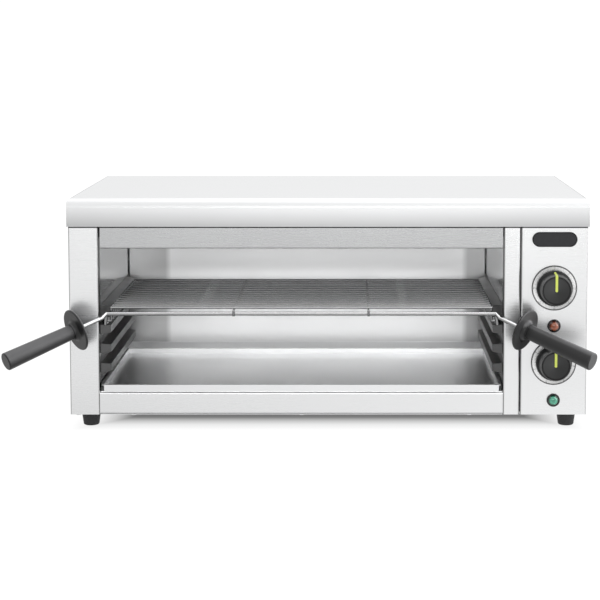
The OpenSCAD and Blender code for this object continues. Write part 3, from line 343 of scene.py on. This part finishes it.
# --- materials of the CAD nodes ----------------------------------------------------------------
upper_lamp = middle(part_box("heating_lamp_lens"))
lower_lamp = middle(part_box("power_lamp_lens"))
looks = {
    # Painted shade: the cover on its upright folds and downwards on its front, and the casing on its
    # folds and, like the fascia, in a shadow line under the cover and on the flanks beside the gaps.
    "cover_steel": brushed("cover_brushed", 0.67, 0.42, "x", 0.003, 0.01, aniso=0.0, painted_fold_shade=0.4,
                           painted_drop_shade=(cover_z + 2 * MM, cover_z + 20 * MM, 0.68)),
    "casing_steel": brushed("casing_brushed", 0.80, 0.28, "x", 0.004, painted_fold_shade=0.6, painted_seam_shadow=True),
    # The fascia's tone, lower than the casing's, is painted shade under the cover.
    "fascia_steel": brushed("fascia_brushed", 0.49, 0.28, "x", 0.004, painted_seam_shadow=True),
    "lining_steel": brushed("lining_bright", 0.93, 0.30, "x", 0.01, 0.02, aniso=0.0),
    "guide_steel": stamped("guide_stamped", 0.10, 0.34, 0.34),
    "rear_steel": brushed("rear_plain", 0.72, 0.38, "x", 0.03),
    "tray_steel": brushed("tray_satin", 0.79, 0.31, "x", 0.008, 0.02, aniso=0.0),
    "wire_chrome": plated("wire_plated", 0.86, 0.12, 0.35),
    "tube_steel": heated("tube_oxidised"),
    "bush_steel": brushed("bush_plain", 0.62, 0.35, "z", 0.03),
    "ceramic": plastic("ceramic_glaze", (0.84, 0.80, 0.70), 0.2, 500, 0.05, 0.05, 0.3),
    # The handles carry a strong painted highlight on faces that look up or to the right.
    "handle_plastic": plastic("handle_moulded", (0.0095, 0.0095, 0.0098), 0.34, 1100, 0.12,
                              shine=0.4, painted_sheen=20.0),
    "pointer_plastic": plastic("pointer_lime", (0.66, 0.74, 0.13), 0.35, 900, 0.05, 0.04),
    "spindle_steel": brushed("spindle_turned", 0.6, 0.3, "y", 0.03),
    "control_plastic": plastic("control_body", (0.60, 0.54, 0.40), 0.5, 700, 0.1),
    "copper": brushed("bulb_copper", 0.5, 0.3, "x", 0.03),
    "bezel_plastic": plastic("bezel_black", (0.006, 0.006, 0.007), 0.22, 900, 0.03, 0.1, 0.1),
    "orange_lens": lens("lens_orange", (0.05, 0.008, 0.003), (0.42, 0.12, 0.055), upper_lamp),
    "green_lens": lens("lens_green", (0.002, 0.045, 0.024), (0.10, 0.50, 0.33), lower_lamp),
    "lamp_body_plastic": plastic("lamp_body", (0.03, 0.03, 0.03), 0.5),
    "plate_print": badge("plate_satin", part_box("nameplate"), (0.020, 0.020, 0.023), 0.06),
    "block_plastic": plastic("block_white", (0.78, 0.77, 0.72), 0.45, 700, 0.08, 0.04),
    "inlet_plastic": plastic("inlet_black", (0.02, 0.02, 0.021), 0.45),
    "foot_rubber": plastic("foot_rubber_matt", (0.010, 0.010, 0.011), 0.6, 700, 0.25),
    "screw_steel": brushed("screw_plain", 0.6, 0.3, "z", 0.03),
}
slot_of = {part["node"]: part["material_slot"] for part in frame["record"]["subparts"]}

# Nodes that look different from the rest of their slot
low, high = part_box("cavity_back")
half = (high[0] - low[0]) / 2
# Painted reflection: darker bands at both ends of the back wall, where the side walls are mirrored.
painted_end_bands = (low[0] + half + 12.5 * MM, half - 43 * MM, half - 35 * MM, 0.60)
own_looks = {
    "cavity_back": brushed("back_bright", 0.94, 0.41, "x", 0.004, 0.02, aniso=0.0,
                           painted_corner_shade=painted_end_bands),
    "heat_reflector": brushed("reflector_heated", 0.30, 0.35, "x", 0.02, aniso=0.1),
}
polished = brushed("liner_polished", 0.95, 0.12, "y", 0.010, 0.02, aniso=0.0)
own_looks.update(dict.fromkeys(("left_liner", "right_liner"), polished))
# The rack's wires: brighter plating, with deeper painted shade on their lower side.
underside_shaded_wires = plated("wire_underside_shaded", 0.94, 0.08, 0.23)
own_looks.update(dict.fromkeys(("rack_wires", "left_wire_ends", "right_wire_ends"), underside_shaded_wires))
# Knob greys by radius: the face, a painted shadow line round the cap, a painted highlight ring
# outside it, then the black skirt.
knob_painted_greys = [(0, 0.058), (14.8, 0.046), (15.1, 0.0), (16.5, 0.0), (16.8, 0.15), (17.6, 0.12),
              (18.0, 0.006), (20.6, 0.006), (21, 0.012)]
# Scale ring greys by radius: a painted sheen that rises towards the rim, with a dark line just inside
# it; the two lobes round it are a painted sheen too.
ring_sheen_greys = [(20, 0.62), (21.4, 0.72), (24.9, 0.84), (25.2, 0.20), (25.7, 0.20), (26.0, 0.90)]
for dial, ring in (("thermostat", "upper_scale_ring"), ("timer", "lower_scale_ring")):
    centre = middle(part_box(ring))
    own_looks[dial + "_knob"] = turned(dial + "_knob_moulded", centre, knob_painted_greys, 0.33,
                                       (1, -0.9, 0.35), shine=0.3)
    own_looks[ring] = turned(dial + "_ring_painted_sheen", centre, ring_sheen_greys, 0.26, (2, 0.6, 0.62),
                             metallic=1.0)

for name, obj in frame["nodes"].items():
    material = own_looks.get(name) or looks[slot_of[name]]
    if not obj.material_slots:
        obj.data.materials.append(material)
    for slot in obj.material_slots:
        slot.material = material


# --- pieces ------------------------------------------------------------------------------------
def piece(name, mesh, material):
    """A fine thing on the casing, with the material that it is given."""
    obj = bpy.data.objects.new(name, mesh)
    bpy.context.scene.collection.objects.link(obj)
    mesh.materials.append(material)
    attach(obj, "casing")


def add_bar(bm, centre, angle, radius, length, width, y0, y1):
    """A short raised mark on a dial, pointing away from the dial's centre."""
    turn = Matrix.Rotation(angle, 4, "Y")
    corners = []
    for y in (y0, y1):
        for side, z in ((-1, radius), (1, radius), (1, radius + length), (-1, radius + length)):
            point = turn @ Vector((side * width / 2, 0, z))
            corners.append(bm.verts.new((centre[0] + point.x, y, centre[2] + point.z)))
    for face in ((3, 2, 1, 0), (4, 5, 6, 7), (0, 1, 5, 4), (1, 2, 6, 5), (2, 3, 7, 6),
                 (3, 0, 4, 7)):
        bm.faces.new([corners[i] for i in face])


def dial_marks(name, box, steps, major, sweep, material):
    """Graduation of a scale ring: marks over a sweep that starts at the top and runs clockwise,
    each major one longer and wider."""
    bm = bmesh.new()
    centre = middle(box)
    face_y = box[0][1] + ring_lip
    for i in range(steps + 1):
        angle = math.radians(sweep) * i / steps
        length, width = (1.5, 0.34) if i % major == 0 else (0.9, 0.2)
        add_bar(bm, centre, angle, 21.6 * MM, length * MM, width * MM,
                face_y - 0.04 * MM, face_y + 0.02 * MM)
    mesh = bpy.data.meshes.new(name)
    bm.to_mesh(mesh)
    bm.free()
    piece(name, mesh, material)


def dial_numbers(name, box, values, sweep, material):
    """Numerals round a scale ring, upright to its centre, as one mesh."""
    centre = middle(box)
    radius, height = 24.3 * MM, 2.1 * MM
    face_y = box[0][1] + ring_lip
    meshes = []
    for i, value in enumerate(values):
        curve = bpy.data.curves.new(name, "FONT")
        curve.body = str(value)
        curve.size = height
        curve.align_x = "CENTER"
        curve.align_y = "CENTER"
        curve.extrude = 0.02 * MM
        text = bpy.data.objects.new(name, curve)
        bpy.context.scene.collection.objects.link(text)
        angle = math.radians(sweep) * i / (len(values) - 1)
        at = Matrix.Translation((centre[0] + radius * math.sin(angle), face_y - 0.01 * MM,
                                 centre[2] + radius * math.cos(angle)))
        turn = Matrix.Rotation(angle, 4, "Y") @ Matrix.Rotation(math.pi / 2, 4, "X")
        text.matrix_world = at @ turn
        bpy.context.view_layer.update()
        depsgraph = bpy.context.evaluated_depsgraph_get()
        mesh = bpy.data.meshes.new_from_object(text.evaluated_get(depsgraph))
        mesh.transform(text.matrix_world)
        meshes.append(mesh)
        bpy.data.objects.remove(text)
    bm = bmesh.new()
    for mesh in meshes:
        bm.from_mesh(mesh)
    whole = bpy.data.meshes.new(name)
    bm.to_mesh(whole)
    bm.free()
    piece(name, whole, material)


def torus(name, centre, radius, thick, flat, material):
    """A ring of oval section round the Y axis through centre: thick across it, flat along it."""
    steps, sides = 96, 10
    bm = bmesh.new()
    rings = []
    for i in range(steps):
        a = 2 * math.pi * i / steps
        ring = []
        for j in range(sides):
            b = 2 * math.pi * j / sides
            r = radius + thick * math.cos(b)
            ring.append(bm.verts.new((centre[0] + r * math.cos(a), centre[1] + flat * math.sin(b),
                                      centre[2] + r * math.sin(a))))
        rings.append(ring)
    for i in range(steps):
        for j in range(sides):
            a, b = rings[i], rings[(i + 1) % steps]
            bm.faces.new((a[j], a[(j + 1) % sides], b[(j + 1) % sides], b[j])).smooth = True
    bmesh.ops.recalc_face_normals(bm, faces=bm.faces)
    mesh = bpy.data.meshes.new(name)
    bm.to_mesh(mesh)
    bm.free()
    piece(name, mesh, material)


ink = plastic("scale_ink", (0.03, 0.03, 0.032), 0.4, 900, 0.03)
# The turn of each dial in degrees, and the numbers round it
for name, sweep, values in (("thermostat", 270, range(0, 301, 50)),
                            ("timer", 300, range(0, 61, 10))):
    box = ring_boxes[name]
    dial_marks(name + "_marks", box, 30, 5, sweep, ink)
    dial_numbers(name + "_numbers", box, values, sweep, ink)
    at = middle(box)
    radius = (box[1][0] - box[0][0]) / 2
    torus(name + "_ring_edge", (at[0], box[0][1] + 0.25 * MM, at[2]), radius - 0.2 * MM,
          0.5 * MM, 0.3 * MM, looks["bezel_plastic"])


# --- stage, light and camera -------------------------------------------------------------------
def floor_material():
    """White floor. The camera sees it white but for a painted shadow under the part, drawn from the
    footprint of base_plate, and shiny sheets mirror a level that is lower in front of the part's left
    end."""
    g = Graph(bpy.data.materials.new("floor_white"))
    g.set(Base_Color=(0.86, 0.86, 0.86, 1))
    spots = g.noise(g.place(), 40, 2)
    g.link(g.span(spots, 0.66, 0.74), g.shader.inputs["Roughness"])
    at = g.axes("Object")
    low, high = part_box("base_plate")
    inside = g.math("SUBTRACT", at[0], low[0])
    for gap in (g.math("SUBTRACT", high[0], at[0]), g.math("SUBTRACT", at[1], low[1]),
                g.math("SUBTRACT", high[1], at[1])):
        inside = g.math("MINIMUM", inside, gap)
    rays = g.node("ShaderNodeLightPath").outputs
    beside = g.math("MULTIPLY", at[0], g.span(at[1], 0, 1, -0.5, -0.15))
    across = g.math("MULTIPLY", g.span(beside, 0.72, 1.08, -0.45, 0.45),
                    g.span(at[1], 1.14, 1.08, -5, -1.2))
    seen = g.node("ShaderNodeEmission")
    # Painted shadow: what the camera sees darkens under the footprint of base_plate.
    painted_shadow_levels = [(0.0, 1.1), (0.12, 1.02), (0.3, 0.88), (0.45, 0.6), (0.62, 0.18), (1.0, 0.06)]
    under = g.span(inside, 0, 1, -0.01, 0.11)
    g.link(g.ramp(under, [(t, grey(v)) for t, v in painted_shadow_levels]), seen.inputs["Color"])
    mirrored = g.node("ShaderNodeEmission")
    g.link(across, mirrored.inputs["Strength"])
    surface = g.shader.outputs[0]
    for ray, share, glow in (("Is Glossy Ray", 0.8, mirrored), ("Is Camera Ray", 0.9, seen)):
        mix = g.node("ShaderNodeMixShader")
        g.link(g.math("MULTIPLY", rays[ray], share), mix.inputs[0])
        g.link(surface, mix.inputs[1])
        g.link(glow.outputs[0], mix.inputs[2])
        surface = mix.outputs[0]
    g.link(surface, g.tree.nodes["Material Output"].inputs["Surface"])
    return g.owner


bm = bmesh.new()
bmesh.ops.create_grid(bm, x_segments=8, y_segments=8, size=300)
mesh = bpy.data.meshes.new("floor")
bm.to_mesh(mesh)
bm.free()
floor = bpy.data.objects.new("floor", mesh)
bpy.context.scene.collection.objects.link(floor)
mesh.materials.append(floor_material())

# Shiny sheets mirror a room that is brighter overhead and to the right, the camera sees white, and
# the rest of the light has a lower level.
level, white = 0.62, 1.05
world = bpy.data.worlds.new("studio")
bpy.context.scene.world = world
sky = Graph(world)
ray = sky.node("ShaderNodeLightPath").outputs
toward = sky.axes("Generated")
room = sky.math("MULTIPLY", sky.span(toward[2], 1.0, 1.27, -0.05, 0.6),
                sky.span(toward[0], 0.9, 1.08, -0.8, 0.8))
extra = sky.math("MULTIPLY", ray["Is Glossy Ray"], sky.math("SUBTRACT", room, level))
seen = sky.math("MULTIPLY", ray["Is Camera Ray"], white - level)
back = sky.tree.nodes["Background"]
sky.link(sky.math("ADD", sky.math("ADD", extra, seen), level), back.inputs["Strength"])
back.inputs["Color"].default_value = (1, 1, 1, 1)


def softbox(name, at, target, size, power):
    light = bpy.data.lights.new(name, "AREA")
    light.shape = "RECTANGLE"
    light.size, light.size_y = size
    light.energy = power
    obj = bpy.data.objects.new(name, light)
    obj.location = at
    obj.rotation_euler = (Vector(target) - Vector(at)).to_track_quat("-Z", "Y").to_euler()
    bpy.context.scene.collection.objects.link(obj)


# Each lamp's place, the point it is aimed at, its two sides in metres and its watts
softbox("key_right", (2.0, -1.5, 1.7), (0, 0, 0.15), (1.4, 1.4), 15)
softbox("low_right", (1.7, -0.9, 0.3), (0.2, -0.1, 0.1), (0.8, 0.6), 5)
softbox("top_soft", (0.1, 0.1, 2.2), (0, 0, 0.2), (2.2, 1.6), 8)
softbox("front_soft", (0.1, -2.4, 0.45), (0, 0, 0.15), (1.0, 0.3), 4.5)

# The camera as it was fitted to the photograph: where it stands, and how far it looks down
aside, distance, height, tilt = 0.0576, 1.9, 0.4659, 5
camera = bpy.data.cameras.new("camera")
camera.lens = 98.35
camera.sensor_width = 36
camera.shift_x = -0.0838
camera.shift_y = -0.2053
camera.clip_end = 600
eye = bpy.data.objects.new("camera", camera)
eye.location = (aside, front_y - distance, height)
eye.rotation_euler = (math.radians(90 - tilt), 0, 0)
bpy.context.scene.collection.objects.link(eye)
bpy.context.scene.camera = eye
bpy.context.scene.view_settings.view_transform = "Standard"
